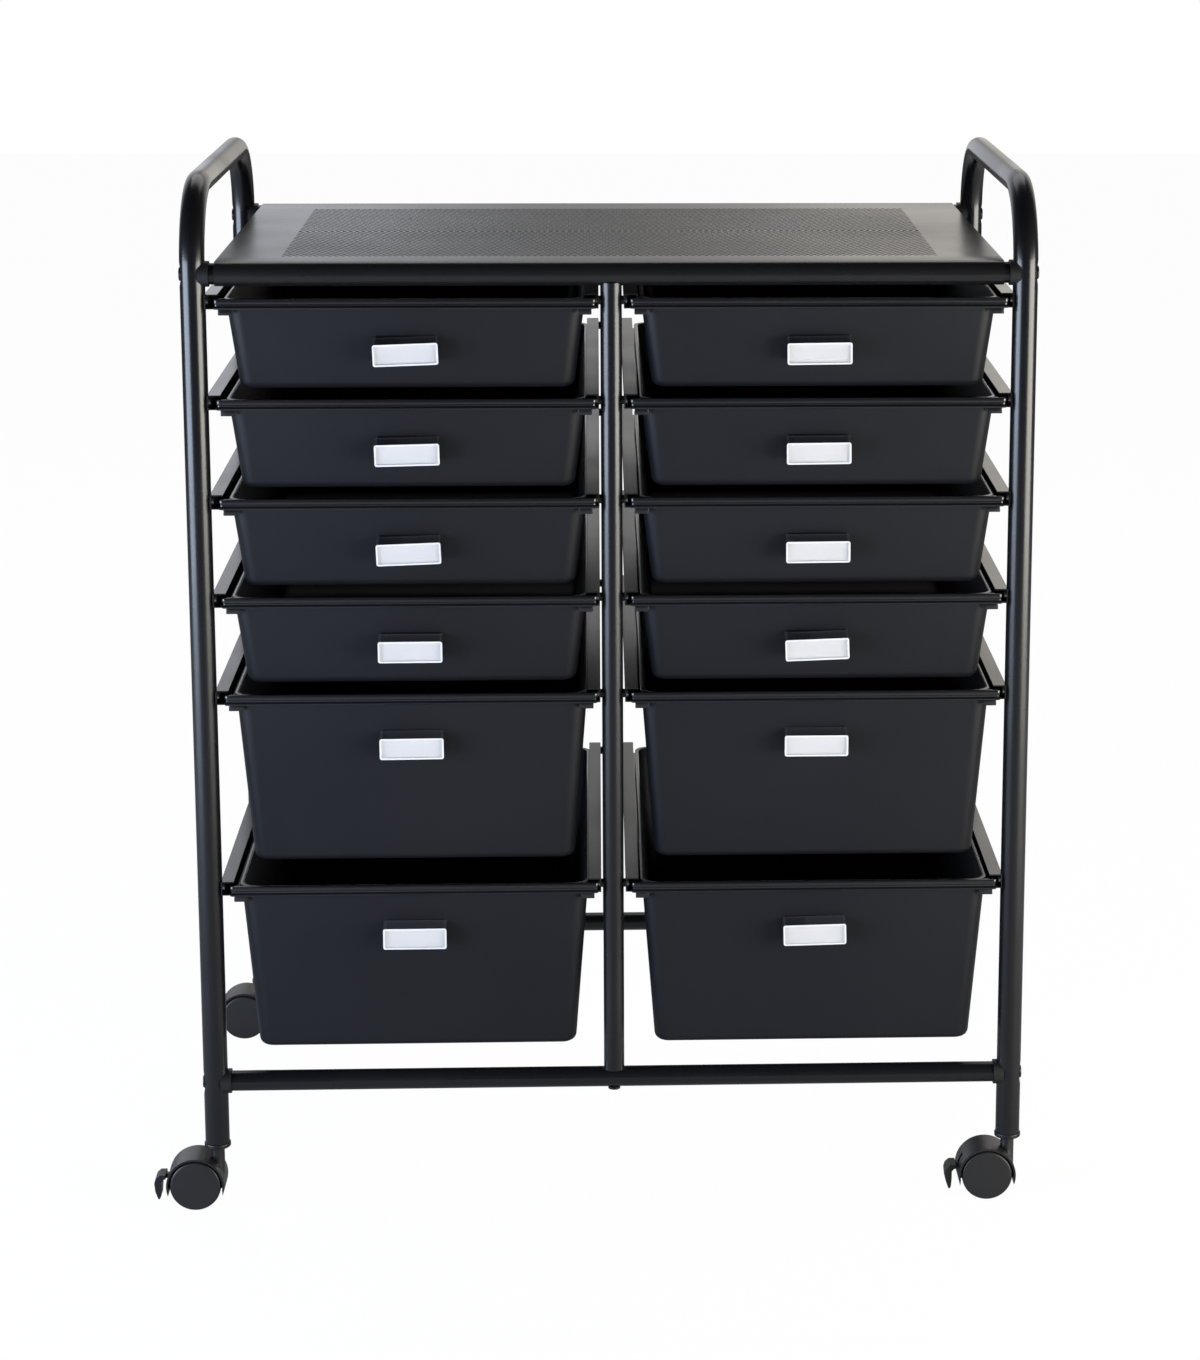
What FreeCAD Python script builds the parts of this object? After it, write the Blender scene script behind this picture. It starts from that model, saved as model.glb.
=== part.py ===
import FreeCAD, Part
import math
import os

# Rolling storage cart: two bent tube side frames, four crossbars, two centre posts,
# a sheet steel shelf, twelve plastic drawers that slide in steel runners, and four casters.
# The front faces -Y. Everything is laid out about the middle of the frame, with the floor
# at z = 0, and is moved at the end so that the origin is under the middle of the outer box.

V = FreeCAD.Vector
X_AXIS = V(1, 0, 0)
Y_AXIS = V(0, 1, 0)
Z_AXIS = V(0, 0, 1)

# Side frames, each one tube bent into an upside-down U
frame_width = 626.0
frame_depth = 371.0
post_diameter = 19.0
tube_wall = 1.0
handle_rise = 71.7
handle_bend_radius = 60.0
post_end_height = 52.4

# Crossbars and centre posts
bar_diameter = 16.0
bottom_bar_height = 102.5
top_bar_height = 741.8
collar_diameter = 19.4
collar_inner_reach = 3.0
collar_outer_reach = 5.0
collar_seat_depth = 1.8
bar_plug_length = 14.0
bar_flat_depth = 1.2
bar_flat_length = 17.0
bar_core_length = 22.0

# Bolts through the posts into the crossbars, each head in a pressed dimple
bolt_diameter = 6.0
bolt_length = 30.0
bolt_head_diameter = 10.5
bolt_head_thickness = 1.7
dimple_depth = 1.4
dimple_floor_diameter = 11.6
dimple_slope = 3.2

# Screws through the crossbars into the centre posts
post_screw_diameter = 5.0
post_screw_length = 24.0
post_screw_head_diameter = 9.5
post_screw_head_thickness = 1.9

# Shelf
shelf_end_gap = 7.3
shelf_thickness = 1.0
shelf_wrap_angle = 170.0

# Openings punched in the shelf: the real sheet's fine holes as a plain grid of larger ones
grid_columns = 12
grid_rows = 8
grid_side_margin = 44.0
grid_end_margin = 27.0
grid_web = 18.0

# Runners, from the top row down
runner_drop = 14.8
shallow_rows = 4
deep_rows = 2
pitches_per_deep_drawer = 2
runner_width = 10.0
runner_height = 11.2
runner_wall = 1.0
runner_overrun = 6.0
runner_seat_depth = 0.6
runner_seat_diameter = 13.0
spacer_length = 1.5
spacer_diameter = 6.6

# Screws that hold the runners
runner_screw_diameter = 3.8
runner_screw_length = 7.0
runner_screw_head_diameter = 7.0
runner_screw_head_thickness = 1.4

# Drawers
drawer_mouth_gap = 2.55
drawer_rim_drop = 3.5
drawer_back_gap = 1.5
drawer_wall = 2.0
drawer_floor = 2.0
shallow_drawer_draft = 7.2
deep_drawer_draft = 4.4
drawer_corner_top = 12.0
drawer_corner_bottom = 10.0
drawer_edge_radius = 5.5
shallow_drawer_gap = 3.5
deep_drawer_gap = 13.5
bottom_drawer_gap = 18.0
left_drawer_shift = 2.5
rim_bead_width = 1.0
rim_bead_height = 2.0
flange_reach = 4.7
flange_thickness = 2.0
drawer_travel = 270.0

# Front rim strip with a tab below each end
strip_width = 285.2
strip_top_drop = 3.0
strip_height = 8.0
strip_thickness = 2.6
strip_end_radius = 2.5
strip_edge = 0.9
strip_ridge_height = 3.6
strip_groove_depth = 0.7
strip_lip_height = 1.8
strip_lip_reach = 0.7
tab_inset = 3.1
tab_width = 10.5
tab_height = 4.5
tab_thickness = 2.0
tab_corner_radius = 1.5

# Pull on the drawer's front, which is a hooked lip between two cheeks
pull_width = 46.0
pull_reach = 8.0
pull_top_drop = 37.0
pull_top_angle = 24.0
pull_lip_height = 14.5
pull_wall = 1.8

# Clear label holder that clips over the pull, with a card in it
holder_width = 49.0
holder_wall = 1.0
holder_rim_width = 1.6
holder_rim_height = 0.4
holder_top_reach = 8.5
holder_hook_reach = 3.6
card_thickness = 0.3

# Casters
wheel_diameter = 40.0
wheel_width = 10.2
wheel_gap = 9.0
wheel_edge_radius = 2.0
caster_trail = 17.0
axle_diameter = 4.0
axle_end_cover = 1.7
stem_diameter = 7.0
stem_grip_length = 27.0
hood_gap = 1.2
hood_wall = 1.6
hood_side_margin = 0.2
hood_tip_angle = 20.0
hood_inner_tip_angle = 9.0
web_clearance = 0.4
web_drop = 6.0
boss_diameter = 10.6
socket_flange_diameter = 20.8
socket_flange_thickness = 4.0
socket_groove_depth = 0.5
socket_groove_height = 0.8
socket_length = 30.0

# Brake levers of the front casters, pressed down as in the photograph
lever_pivot_radius = 16.5
lever_pivot_angle = 165.0
lever_pin_diameter = 3.0
lever_hub_diameter = 6.4
lever_arm_width = 4.2
lever_arm_height = 4.0
lever_paddle_width = 15.0
lever_paddle_thickness = 5.5
lever_bridge_thickness = 3.4
lever_hood_gap = 1.2
lever_reach = 33.0
lever_top_rise = 6.6
lever_tip_drop = 13.5
lever_travel = 25.0

# Clearances
press_clearance = 0.02
running_clearance = 0.05
slip_clearance = 0.15
hole_clearance = 0.2
slide_clearance = 0.3
seat_clearance = 0.3

# Worked out from the driving dimensions
half_width = frame_width / 2
half_depth = frame_depth / 2
post_radius = post_diameter / 2
bar_radius = bar_diameter / 2
collar_radius = collar_diameter / 2
handle_height = top_bar_height + handle_rise
handle_axis_height = handle_height - post_radius
wheel_radius = wheel_diameter / 2
axle_height = wheel_radius
hood_inner_radius = wheel_radius + hood_gap
hood_outer_radius = hood_inner_radius + hood_wall
wheel_inner_face = wheel_gap / 2
wheel_outer_face = wheel_inner_face + wheel_width
hood_half_width = wheel_outer_face + hood_side_margin
web_half_width = wheel_inner_face - web_clearance
socket_bottom = post_end_height - socket_flange_thickness
top_head_sink = bar_radius - math.sqrt(bar_radius ** 2 - (post_screw_head_diameter / 2) ** 2)
shelf_width = frame_width - post_diameter - 2 * shelf_end_gap
shelf_underside = bar_radius + seat_clearance
shelf_top_height = top_bar_height + shelf_underside + shelf_thickness

outer_runner_back = half_width - post_radius + runner_seat_depth
outer_runner_mouth = outer_runner_back - runner_width
inner_runner_back = bar_radius + spacer_length
inner_runner_mouth = inner_runner_back + runner_width
bay_centre = (outer_runner_mouth + inner_runner_mouth) / 2
bay_half_mouth = (outer_runner_mouth - inner_runner_mouth) / 2
drawer_top_width = 2 * (bay_half_mouth - drawer_mouth_gap)
runner_end = half_depth + runner_overrun
flange_half_width = bay_half_mouth + flange_reach

strip_back = -(runner_end + slide_clearance + 0.6)
strip_front = strip_back - strip_thickness
drawer_back = runner_end - runner_wall - drawer_back_gap - drawer_wall
pull_lip_y = strip_back - pull_reach
pull_top_slope = math.tan(math.radians(pull_top_angle))


total_pitches = shallow_rows + deep_rows * pitches_per_deep_drawer
lowest_drawer_bottom = bottom_bar_height + bar_radius + bottom_drawer_gap
runner_pitch = (top_bar_height - runner_drop - lowest_drawer_bottom + deep_drawer_gap) / total_pitches
shallow_drawer_depth = runner_pitch - shallow_drawer_gap
deep_drawer_depth = runner_pitch * pitches_per_deep_drawer - deep_drawer_gap


def row_heights():
    """Runner top heights, one for each row, from the top row down."""
    heights = []
    height = top_bar_height - runner_drop
    for row in range(shallow_rows + deep_rows):
        heights.append(height)
        if row < shallow_rows:
            height -= runner_pitch
        else:
            height -= runner_pitch * pitches_per_deep_drawer
    return heights


def box(low, high):
    """Box between two corners given as (x, y, z)."""
    size = [high[i] - low[i] for i in range(3)]
    return Part.makeBox(size[0], size[1], size[2], V(*low))


def rod(start, direction, radius, length):
    """Round bar from a start point along a direction."""
    return Part.makeCylinder(radius, length, V(*start), direction)


def fuse_all(shapes):
    """One solid from shapes that touch or overlap."""
    whole = shapes[0]
    if len(shapes) > 1:
        whole = whole.fuse(shapes[1:])
    return whole.removeSplitter()


def mirrored(shape):
    """Copy on the other side of the cart's middle plane."""
    return shape.mirror(V(0, 0, 0), X_AXIS)


def extruded_profile(points, low_x, high_x):
    """Solid from a closed (y, z) outline, pulled along X."""
    corners = [V(low_x, y, z) for y, z in points]
    face = Part.Face(Part.makePolygon(corners + corners[:1]))
    return face.extrude(V(high_x - low_x, 0, 0))


def rounded_rectangle(half_x, low_y, high_y, radius, z):
    """Closed wire of a rectangle with round corners, level at z."""
    corner = [
        (half_x - radius, high_y - radius, 0),
        (-half_x + radius, high_y - radius, 90),
        (-half_x + radius, low_y + radius, 180),
        (half_x - radius, low_y + radius, 270),
    ]
    arcs = []
    for cx, cy, start in corner:
        circle = Part.Circle(V(cx, cy, z), Z_AXIS, radius)
        arcs.append(Part.Arc(circle, math.radians(start), math.radians(start + 90)))
    edges = []
    for index, arc in enumerate(arcs):
        following = arcs[(index + 1) % len(arcs)]
        edges.append(arc.toShape())
        edges.append(Part.LineSegment(arc.EndPoint, following.StartPoint).toShape())
    return Part.Wire(edges)


def u_path(x):
    """Centre line of one side frame: up the front post, over the handle, down the rear post."""
    low = post_end_height
    top = handle_axis_height
    bend = handle_bend_radius
    rise = bend * math.sin(math.radians(45))
    front = -half_depth
    rear = half_depth
    front_bend = Part.Arc(
        V(x, front, top - bend), V(x, front + bend - rise, top - bend + rise), V(x, front + bend, top)
    )
    rear_bend = Part.Arc(
        V(x, rear - bend, top), V(x, rear - bend + rise, top - bend + rise), V(x, rear, top - bend)
    )
    pieces = [
        Part.LineSegment(V(x, front, low), V(x, front, top - bend)),
        front_bend,
        Part.LineSegment(V(x, front + bend, top), V(x, rear - bend, top)),
        rear_bend,
        Part.LineSegment(V(x, rear, top - bend), V(x, rear, low)),
    ]
    return Part.Wire([piece.toShape() for piece in pieces])


def swept_u(x, radius):
    """Solid bar of one radius along the side frame's centre line."""
    ring = Part.Wire([Part.Circle(V(x, -half_depth, post_end_height), Z_AXIS, radius).toShape()])
    return u_path(x).makePipeShell([ring], True, False)


def bolt_dimple(y, z, inset):
    """Cutter for the pressed hollow round a bolt head on the right frame's outer side."""
    floor_x = half_width + post_radius - dimple_depth - inset
    floor_radius = dimple_floor_diameter / 2 + inset
    height = dimple_depth + 2 * inset + 1.0
    cone = Part.makeCone(floor_radius, floor_radius + dimple_slope * height, height, V(floor_x, y, z), X_AXIS)
    return cone


def runner_seat(y, z, inset):
    """Cutter for the flat that a runner lies on, on the right frame's inner side."""
    face_x = outer_runner_back + inset
    return rod((face_x, y, z), -X_AXIS, runner_seat_diameter / 2 + inset, runner_seat_depth + 1.0 + inset)


def make_side_frame():
    """Right side frame: one bent tube with dimples, seats and drilled holes."""
    outside = swept_u(half_width, post_radius)
    inside = swept_u(half_width, post_radius - tube_wall)
    outer_cuts = []
    inner_cuts = []
    holes = []
    for y in (-half_depth, half_depth):
        for z in (bottom_bar_height, top_bar_height):
            outer_cuts.append(bolt_dimple(y, z, 0.0))
            inner_cuts.append(bolt_dimple(y, z, tube_wall))
            start = (half_width - post_diameter, y, z)
            holes.append(rod(start, X_AXIS, bolt_diameter / 2 + hole_clearance, 2 * post_diameter))
        for top in row_heights():
            middle = top - runner_height / 2
            outer_cuts.append(runner_seat(y, middle, 0.0))
            inner_cuts.append(runner_seat(y, middle, tube_wall))
            start = (half_width - post_diameter, y, middle)
            holes.append(rod(start, X_AXIS, runner_screw_diameter / 2 + slip_clearance, post_diameter))
    return outside.cut(outer_cuts).cut(inside.cut(inner_cuts)).cut(holes)


def make_collars():
    """Saddle-shaped plastic collars between the posts and the crossbar ends."""
    collars = []
    inner_face = half_width - post_radius - collar_inner_reach
    outer_face = half_width - post_radius + collar_outer_reach
    frame_space = swept_u(half_width, post_radius + press_clearance)
    for y in (-half_depth, half_depth):
        for z in (bottom_bar_height, top_bar_height):
            sleeve = rod((inner_face, y, z), X_AXIS, collar_radius, outer_face - inner_face)
            seat = rod((inner_face, y, z), X_AXIS, bar_radius + running_clearance, collar_seat_depth)
            bolt_radius = bolt_diameter / 2 + hole_clearance
            bolt = rod((inner_face, y, z), X_AXIS, bolt_radius, outer_face - inner_face)
            collar = sleeve.cut([frame_space, seat, bolt])
            collars.append(collar)
            collars.append(mirrored(collar))
    return Part.makeCompound(collars)


def make_crossbar(y, z, is_top):
    """Crossbar tube, solid at its ends for the bolts and at its middle for the centre post."""
    end = half_width - post_radius - collar_inner_reach + collar_seat_depth - slip_clearance
    tube = rod((-end, y, z), X_AXIS, bar_radius, 2 * end)
    inner_radius = bar_radius - tube_wall
    hollow_end = end - bar_plug_length
    core = bar_core_length / 2
    flat_height = bar_radius - bar_flat_depth
    flat_low = z - bar_radius if is_top else z + flat_height
    half_flat = bar_flat_length / 2
    flat_space = box(
        (-half_flat, y - bar_radius, flat_low),
        (half_flat, y + bar_radius, flat_low + bar_flat_depth),
    )
    cuts = [
        flat_space,
        rod((core, y, z), X_AXIS, inner_radius, hollow_end - core),
        rod((-core, y, z), -X_AXIS, inner_radius, hollow_end - core),
        rod((hollow_end, y, z), X_AXIS, bolt_diameter / 2 + running_clearance, bar_plug_length),
        rod((-hollow_end, y, z), -X_AXIS, bolt_diameter / 2 + running_clearance, bar_plug_length),
        rod((0, y, z - bar_radius), Z_AXIS, post_screw_diameter / 2 + slip_clearance, bar_diameter),
    ]
    if is_top:
        head_depth = top_head_sink + post_screw_head_thickness + slip_clearance
        head_radius = post_screw_head_diameter / 2 + slip_clearance
        cuts.append(rod((0, y, z + bar_radius - head_depth), Z_AXIS, head_radius, head_depth))
    return tube.cut(cuts)


def make_centre_post(y):
    """Centre post tube, cut square and standing between the flats of two crossbars."""
    low = bottom_bar_height + bar_radius - bar_flat_depth
    high = top_bar_height - bar_radius + bar_flat_depth
    tube = rod((0, y, low), Z_AXIS, bar_radius, high - low)
    hollow_length = high - low - 2 * bar_plug_length
    hollow = rod((0, y, low + bar_plug_length), Z_AXIS, bar_radius - tube_wall, hollow_length)
    screw_bore = rod((0, y, low), Z_AXIS, post_screw_diameter / 2 + running_clearance, high - low)
    cuts = [hollow, screw_bore]
    for top in row_heights():
        start = (-bar_diameter, y, top - runner_height / 2)
        cuts.append(rod(start, X_AXIS, runner_screw_diameter / 2 + slip_clearance, 2 * bar_diameter))
    return tube.cut(cuts)


def make_frame_bolts():
    """Bolts through the posts into the crossbars, and screws that hold the centre posts."""
    bolts = []
    head_face = half_width + post_radius - dimple_depth
    for y in (-half_depth, half_depth):
        for z in (bottom_bar_height, top_bar_height):
            head = rod((head_face, y, z), X_AXIS, bolt_head_diameter / 2, bolt_head_thickness)
            outer_rim = [edge for edge in head.Edges if edge.CenterOfMass.x > head_face + bolt_head_thickness / 2]
            head = head.makeFillet(bolt_head_thickness * 0.6, outer_rim[:1])
            shank = rod((head_face, y, z), -X_AXIS, bolt_diameter / 2, bolt_length)
            bolt = fuse_all([head, shank])
            bolts.append(bolt)
            bolts.append(mirrored(bolt))
        radius = post_screw_diameter / 2
        head_radius = post_screw_head_diameter / 2
        low_face = bottom_bar_height - bar_radius
        low_head = rod((0, y, low_face), -Z_AXIS, head_radius, post_screw_head_thickness)
        low_shank = rod((0, y, low_face), Z_AXIS, radius, post_screw_length)
        bolts.append(fuse_all([low_head, low_shank]))
        high_face = top_bar_height + bar_radius - top_head_sink - post_screw_head_thickness
        high_head = rod((0, y, high_face), Z_AXIS, head_radius, post_screw_head_thickness)
        high_shank = rod((0, y, high_face), -Z_AXIS, radius, post_screw_length)
        bolts.append(fuse_all([high_head, high_shank]))
    return Part.makeCompound(bolts)


def make_shelf():
    """Sheet steel shelf with its front and rear edges rolled round the top crossbars."""
    low_x = -shelf_width / 2
    low_z = top_bar_height + shelf_underside
    plate = box((low_x, -half_depth, low_z), (low_x + shelf_width, half_depth, low_z + shelf_thickness))
    parts = [plate]
    for side in (-1, 1):
        axis_point = V(low_x, side * half_depth, top_bar_height)
        inner = shelf_underside
        outer = shelf_underside + shelf_thickness
        start = V(low_x, side * half_depth, top_bar_height + inner)
        end = V(low_x, side * half_depth, top_bar_height + outer)
        edge_face = Part.makeLine(start, end)
        strip = edge_face.extrude(V(shelf_width, 0, 0))
        parts.append(strip.revolve(axis_point, X_AXIS, -side * shelf_wrap_angle))
    sheet = fuse_all(parts)
    notch_height = bar_flat_depth + shelf_underside + shelf_thickness
    notch_low = top_bar_height - shelf_underside - shelf_thickness
    notches = []
    for y in (-half_depth, half_depth):
        notches.append(rod((0, y, notch_low), Z_AXIS, bar_radius + seat_clearance, notch_height - bar_radius))
    field_low = low_x + grid_side_margin
    pitch_x = (shelf_width - 2 * grid_side_margin) / grid_columns
    pitch_y = (frame_depth - 2 * grid_end_margin) / grid_rows
    openings = []
    for column in range(grid_columns):
        for row in range(grid_rows):
            left = field_low + column * pitch_x + grid_web / 2
            front = -half_depth + grid_end_margin + row * pitch_y + grid_web / 2
            far_corner = (left + pitch_x - grid_web, front + pitch_y - grid_web, low_z + 2 * shelf_thickness)
            openings.append(box((left, front, low_z - shelf_thickness), far_corner))
    return sheet.cut(notches + openings)


def runner_profile(back_x, mouth_x, top):
    """One C-shaped runner, open towards its drawer and stopped at the rear."""
    low_x = min(back_x, mouth_x)
    high_x = max(back_x, mouth_x)
    inward = 1 if mouth_x > back_x else -1
    whole = box((low_x, -runner_end, top - runner_height), (high_x, runner_end, top))
    hollow_back = back_x + inward * runner_wall
    hollow_mouth = mouth_x + inward * runner_wall
    hollow = box(
        (min(hollow_back, hollow_mouth), -runner_end - 1.0, top - runner_height + runner_wall),
        (max(hollow_back, hollow_mouth), runner_end - runner_wall, top - runner_wall),
    )
    holes = []
    for y in (-half_depth, half_depth):
        start = (back_x - inward, y, top - runner_height / 2)
        holes.append(rod(start, X_AXIS * inward, runner_screw_diameter / 2 + slip_clearance, runner_wall + 2.0))
    return whole.cut([hollow] + holes)


def make_runners(back_x, mouth_x):
    """Six runners, one for each row, with their backs and mouths at the given x."""
    return Part.makeCompound([runner_profile(back_x, mouth_x, top) for top in row_heights()])


def make_runner_screws():
    """Pan head screws that hold every runner to its two posts."""
    screws = []
    for top in row_heights():
        for y in (-half_depth, half_depth):
            for back_x, outward in ((outer_runner_back, 1), (inner_runner_back, -1)):
                face = back_x - outward * runner_wall
                start = (face, y, top - runner_height / 2)
                head_radius = runner_screw_head_diameter / 2
                head = rod(start, -outward * X_AXIS, head_radius, runner_screw_head_thickness)
                shank = rod(start, outward * X_AXIS, runner_screw_diameter / 2, runner_screw_length)
                screw = fuse_all([head, shank])
                screws.append(screw)
                screws.append(mirrored(screw))
    return Part.makeCompound(screws)


def make_runner_spacers():
    """Short sleeves between the centre posts and the runners beside them."""
    spacers = []
    for top in row_heights():
        middle = top - runner_height / 2
        for y in (-half_depth, half_depth):
            start = (0, y, middle)
            sleeve = rod(start, X_AXIS, spacer_diameter / 2, inner_runner_back)
            bore = rod(start, X_AXIS, runner_screw_diameter / 2 + slip_clearance, inner_runner_back)
            post = rod((0, y, middle - bar_diameter), Z_AXIS, bar_radius + press_clearance, 2 * bar_diameter)
            spacer = sleeve.cut([bore, post])
            spacers.append(spacer)
            spacers.append(mirrored(spacer))
    return Part.makeCompound(spacers)


def wall_inset(drop, draft):
    """How far a drawer's walls have leaned in, at a drop below the runner's top."""
    return (drop - drawer_rim_drop) * math.tan(math.radians(draft))


def tapered_block(draft, shrink, low_drop, high_drop):
    """Solid of the drawer's tapered form, drawn in by a wall thickness."""
    wires = []
    for drop, radius in ((low_drop, drawer_corner_bottom), (high_drop, drawer_corner_top)):
        inset = wall_inset(drop, draft) + shrink
        wires.append(
            rounded_rectangle(
                drawer_top_width / 2 - inset, strip_back + inset, drawer_back - inset, radius - shrink, -drop
            )
        )
    return Part.makeLoft(wires, True, True)


def pull_outline(draft, inset):
    """Side outline of the pull's hook, as (y, z), drawn in by an inset."""
    low_drop = pull_top_drop + pull_lip_height
    wall_y = strip_back + wall_inset(pull_top_drop, draft) + drawer_wall / 2
    low_wall_y = strip_back + wall_inset(low_drop, draft) + drawer_wall / 2
    rise = (wall_y - pull_lip_y) * pull_top_slope
    return [
        (wall_y, rise - pull_top_drop - inset),
        (pull_lip_y + inset, -pull_top_drop - inset),
        (pull_lip_y + inset, -low_drop),
        (low_wall_y, -low_drop),
    ]


def make_strip():
    """Front rim strip with a ridge, a groove and a bead along it, and its two tabs."""
    half_strip = strip_width / 2
    strip_low = -strip_top_drop - strip_height
    bead_front = strip_front - strip_lip_reach
    groove_back = strip_front + strip_groove_depth
    groove_top = -strip_top_drop - strip_ridge_height
    bead_top = strip_low + strip_lip_height
    section = [
        (strip_back, -strip_top_drop),
        (strip_front + strip_edge, -strip_top_drop),
        (strip_front, -strip_top_drop - strip_edge),
        (strip_front, groove_top),
        (groove_back, groove_top - strip_groove_depth),
        (groove_back, bead_top + strip_groove_depth / 2),
        (bead_front, bead_top - strip_groove_depth / 2),
        (bead_front, strip_low + strip_lip_reach),
        (strip_front, strip_low),
        (strip_back, strip_low),
    ]
    strip = extruded_profile(section, -half_strip, half_strip)
    ends = box((-half_strip, bead_front, strip_low), (half_strip, strip_back, -strip_top_drop))
    front_edges = [edge for edge in ends.Edges if edge.BoundBox.ZLength > 1 and edge.BoundBox.YMax < bead_front + 0.01]
    strip = strip.common(ends.makeFillet(strip_end_radius, front_edges))
    tabs = []
    for side in (-1, 1):
        outer_x = side * (half_strip - tab_inset)
        inner_x = outer_x - side * tab_width
        low_corner = (min(outer_x, inner_x), strip_back - tab_thickness, strip_low - tab_height)
        tab = box(low_corner, (max(outer_x, inner_x), strip_back, strip_low))
        corners = [edge for edge in tab.Edges if edge.BoundBox.ZMax < strip_low - 1 and edge.BoundBox.YLength > 1]
        tabs.append(tab.makeFillet(tab_corner_radius, corners))
    return fuse_all([strip] + tabs)


def make_drawer(depth, draft):
    """Moulded drawer about x = 0, with the runner's top at z = 0."""
    outside = tapered_block(draft, 0.0, depth, drawer_rim_drop)
    underside = [edge for edge in outside.Edges if edge.BoundBox.ZMax < -depth + 0.01]
    outside = outside.makeFillet(drawer_edge_radius, underside)
    bead_wire = rounded_rectangle(
        drawer_top_width / 2 + rim_bead_width,
        strip_back - rim_bead_width,
        drawer_back + rim_bead_width,
        drawer_corner_top + rim_bead_width,
        -drawer_rim_drop - rim_bead_height,
    )
    bead = Part.Face(bead_wire).extrude(V(0, 0, rim_bead_height))

    flange_low = -runner_height + runner_wall + slide_clearance
    flange = box(
        (-flange_half_width, strip_back, flange_low),
        (flange_half_width, drawer_back, flange_low + flange_thickness),
    )
    rear_edges = [
        edge for edge in flange.Edges
        if edge.BoundBox.YMin > drawer_back - 0.01 and edge.BoundBox.XLength < 0.01 and edge.BoundBox.ZLength > 0.01
    ]
    flange = flange.makeChamfer(3.0, rear_edges)

    pull = extruded_profile(pull_outline(draft, 0.0), -pull_width / 2, pull_width / 2)
    body = fuse_all([outside, bead, flange, make_strip(), pull])

    inside = tapered_block(draft, drawer_wall, depth - drawer_floor, drawer_rim_drop)
    inner_floor = [edge for edge in inside.Edges if edge.BoundBox.ZMax < -depth + drawer_floor + 0.01]
    inside = inside.makeFillet(drawer_edge_radius - drawer_wall, inner_floor)
    mouth_wire = rounded_rectangle(
        drawer_top_width / 2 - drawer_wall,
        strip_back + drawer_wall,
        drawer_back - drawer_wall,
        drawer_corner_top - drawer_wall,
        -drawer_rim_drop,
    )
    mouth = Part.Face(mouth_wire).extrude(V(0, 0, drawer_rim_drop))
    inner_half = pull_width / 2 - pull_wall
    finger_gap = extruded_profile(pull_outline(draft, pull_wall), -inner_half, inner_half)
    front_wall = tapered_block(draft, 0.0, depth, drawer_rim_drop)
    return body.cut([inside, mouth, finger_gap.cut(front_wall)])


def make_label_holder():
    """Clear holder that clips over the pull, and the card behind its front."""
    card_back = pull_lip_y - slip_clearance
    card_front = card_back - card_thickness
    plate_back = card_front - slip_clearance
    plate_front = plate_back - holder_wall
    low = -(pull_top_drop + pull_lip_height)
    hook_top = low - slip_clearance
    hook_low = hook_top - holder_wall
    top_low = -pull_top_drop + slip_clearance + (plate_back - pull_lip_y) * pull_top_slope
    reach_y = plate_back + holder_top_reach
    reach_low = top_low + holder_top_reach * pull_top_slope
    profile = [
        (plate_front, hook_low),
        (plate_front, top_low + holder_wall),
        (plate_back, top_low + holder_wall + holder_wall * pull_top_slope),
        (reach_y, reach_low + holder_wall),
        (reach_y, reach_low),
        (plate_back, top_low),
        (plate_back, hook_top),
        (plate_back + holder_hook_reach, hook_top),
        (plate_back + holder_hook_reach, hook_low),
    ]
    half = holder_width / 2
    holder = extruded_profile(profile, -half, half)
    rim_outer = box((-half, plate_front - holder_rim_height, hook_low), (half, plate_front, top_low + holder_wall))
    rim_inner = box(
        (-half + holder_rim_width, plate_front - holder_rim_height, hook_low + holder_rim_width),
        (half - holder_rim_width, plate_front, top_low + holder_wall - holder_rim_width),
    )
    holder = fuse_all([holder, rim_outer.cut(rim_inner)])
    card = box(
        (-half + holder_wall, card_front, hook_top + slip_clearance),
        (half - holder_wall, card_back, top_low - slip_clearance),
    )
    return Part.makeCompound([holder, card])


def wheel_side(sign, inner, outer, radius):
    """Round body between two distances from the caster's middle, on one side of it."""
    return rod((0, sign * inner, axle_height), sign * Y_AXIS, radius, outer - inner)


def make_wheel(sign):
    """Caster wheel with a blind bore, on the side of the caster given by sign."""
    disc = wheel_side(sign, wheel_inner_face, wheel_outer_face, wheel_radius)
    rims = [edge for edge in disc.Edges if abs(edge.BoundBox.YLength) < 0.01]
    disc = disc.makeFillet(wheel_edge_radius, rims)
    bore_end = wheel_outer_face - axle_end_cover
    bore = wheel_side(sign, wheel_inner_face, bore_end, axle_diameter / 2 + running_clearance)
    return disc.cut(bore)


def polar(radius, angle):
    """Point at a radius and an angle in degrees from +X about the axle, as (x, z)."""
    turn = math.radians(angle)
    return (radius * math.cos(turn), axle_height + radius * math.sin(turn))


def hood_shell():
    """Arched cover over both wheels, with pointed ends."""
    y = -hood_half_width
    outer_start = polar(hood_outer_radius, -hood_tip_angle)
    outer_end = polar(hood_outer_radius, 180 + hood_tip_angle)
    inner_start = polar(hood_inner_radius, -hood_inner_tip_angle)
    inner_end = polar(hood_inner_radius, 180 + hood_inner_tip_angle)
    outer_top = polar(hood_outer_radius, 90)
    inner_top = polar(hood_inner_radius, 90)

    def at(point):
        return V(point[0], y, point[1])

    edges = [
        Part.Arc(at(outer_start), at(outer_top), at(outer_end)).toShape(),
        Part.makeLine(at(outer_end), at(inner_end)),
        Part.Arc(at(inner_end), at(inner_top), at(inner_start)).toShape(),
        Part.makeLine(at(inner_start), at(outer_start)),
    ]
    return Part.Face(Part.Wire(edges)).extrude(V(0, 2 * hood_half_width, 0))


def lever_pivot():
    """Place of the brake lever's pin about the axle, as (x, z)."""
    return polar(lever_pivot_radius, lever_pivot_angle)


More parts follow.
